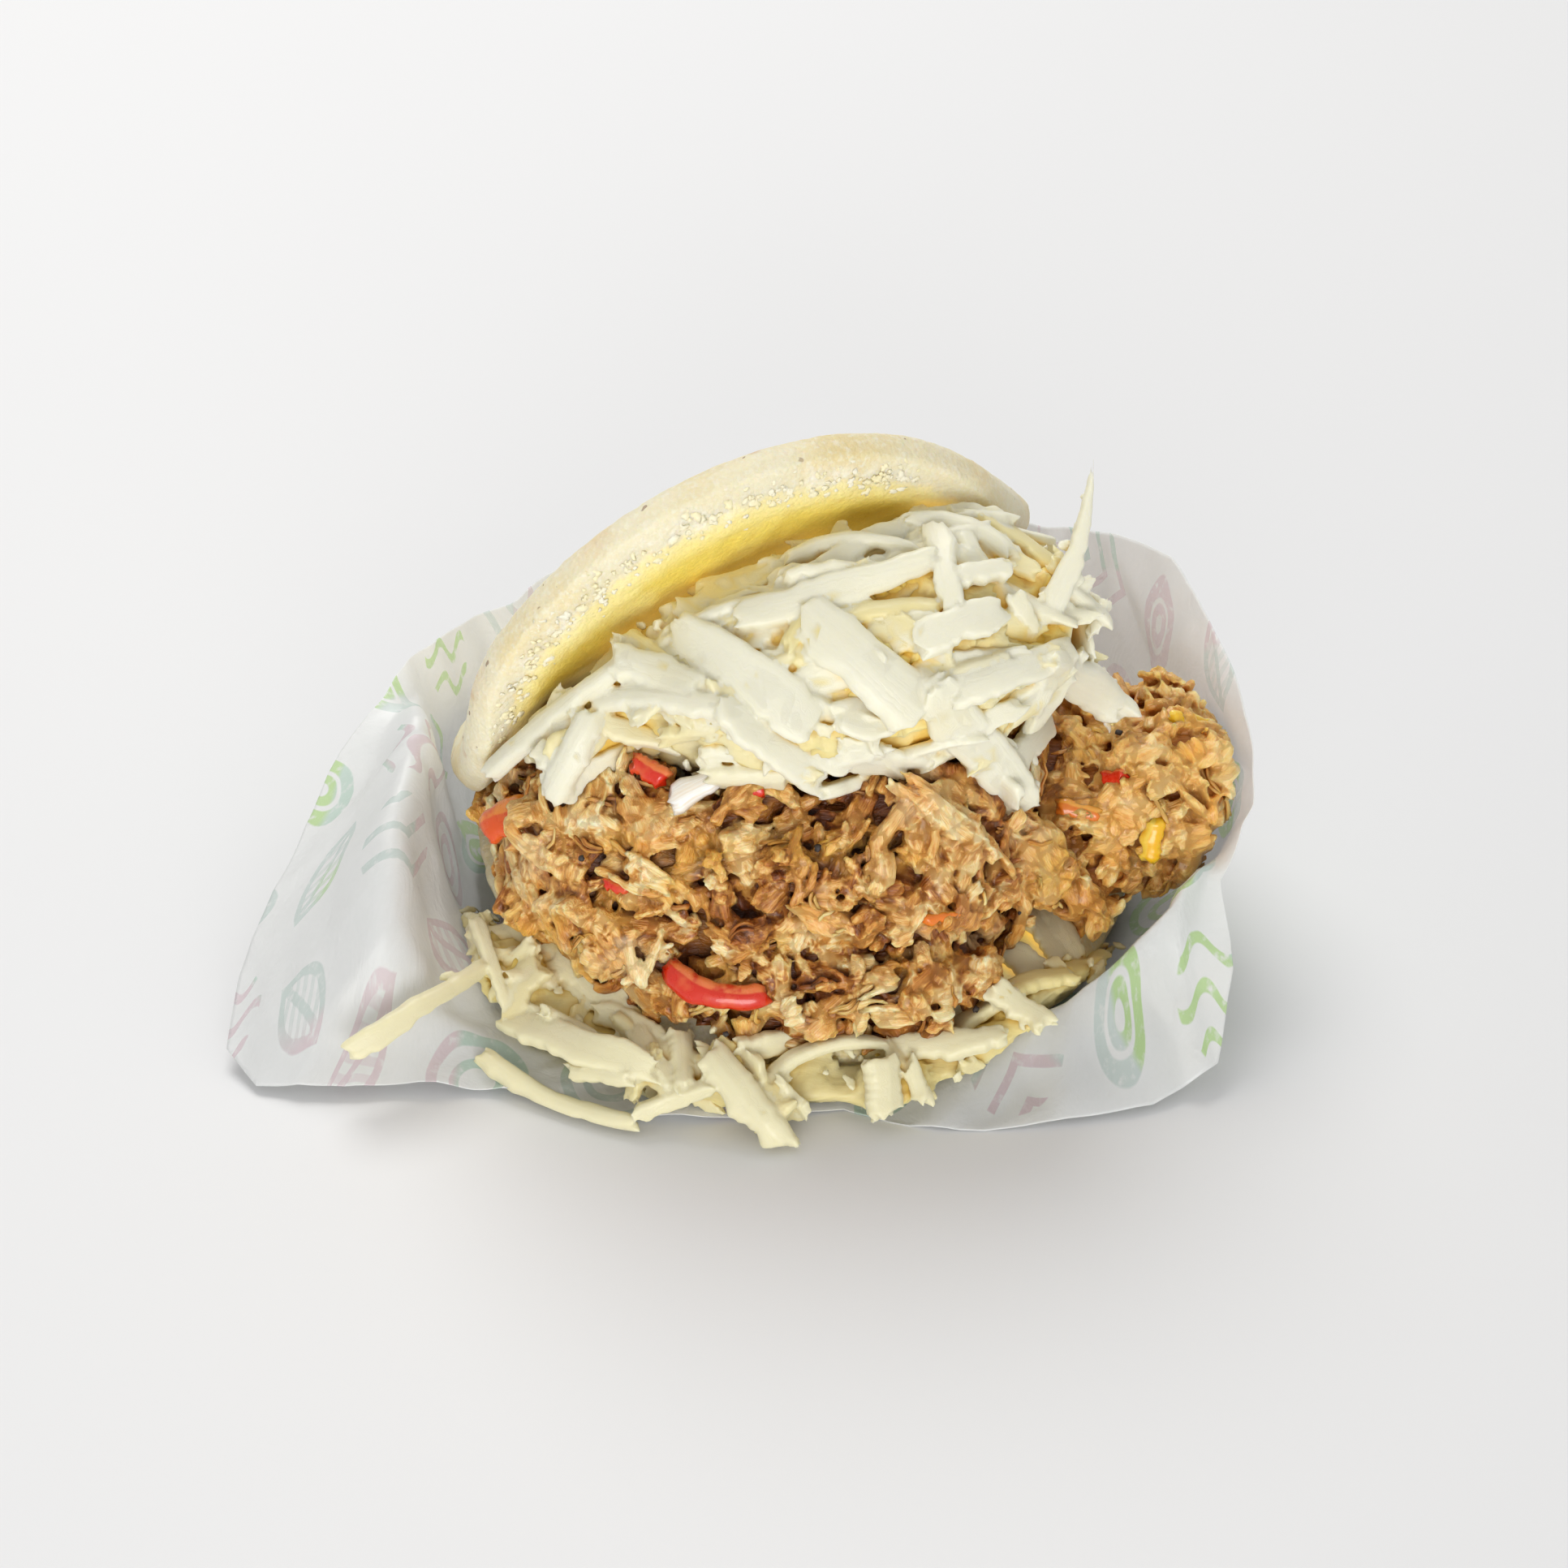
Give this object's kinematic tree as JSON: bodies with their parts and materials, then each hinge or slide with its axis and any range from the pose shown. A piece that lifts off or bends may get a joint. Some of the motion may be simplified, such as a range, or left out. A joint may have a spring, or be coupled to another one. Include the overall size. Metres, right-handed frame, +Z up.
{
  "type": "filled arepa",
  "caption": "Round corn bread split open and heaped with pulled pork and coarsely grated white cheese, lying in a cupped sheet of printed paper.",
  "frame": {"origin": "on the surface that the paper rests on, under the middle of the bread's lower half", "axes": "+Z up; -Y towards the front, where the bread gapes and the filling shows; +X to the right as seen from the front"},
  "size_m": [0.1897, 0.1506, 0.1109],
  "materials": {
    "paper": "satin",
    "corn_bread": "matte",
    "pulled_pork": "satin",
    "white_cheese": "satin",
    "red_pepper": "satin",
    "orange_pepper": "satin",
    "yellow_pepper": "satin",
    "onion": "satin"
  },
  "bodies": {
    "root": {"paper_wrap": "paper", "arepa_bread": "corn_bread", "pulled_pork": "pulled_pork", "cheese_top": "white_cheese", "cheese_base": "white_cheese", "pepper_strip_front": "red_pepper", "pepper_piece_left": "orange_pepper", "pepper_piece_upper": "red_pepper", "pepper_piece_right": "yellow_pepper", "onion_piece": "onion"}
  },
  "joints": []
}
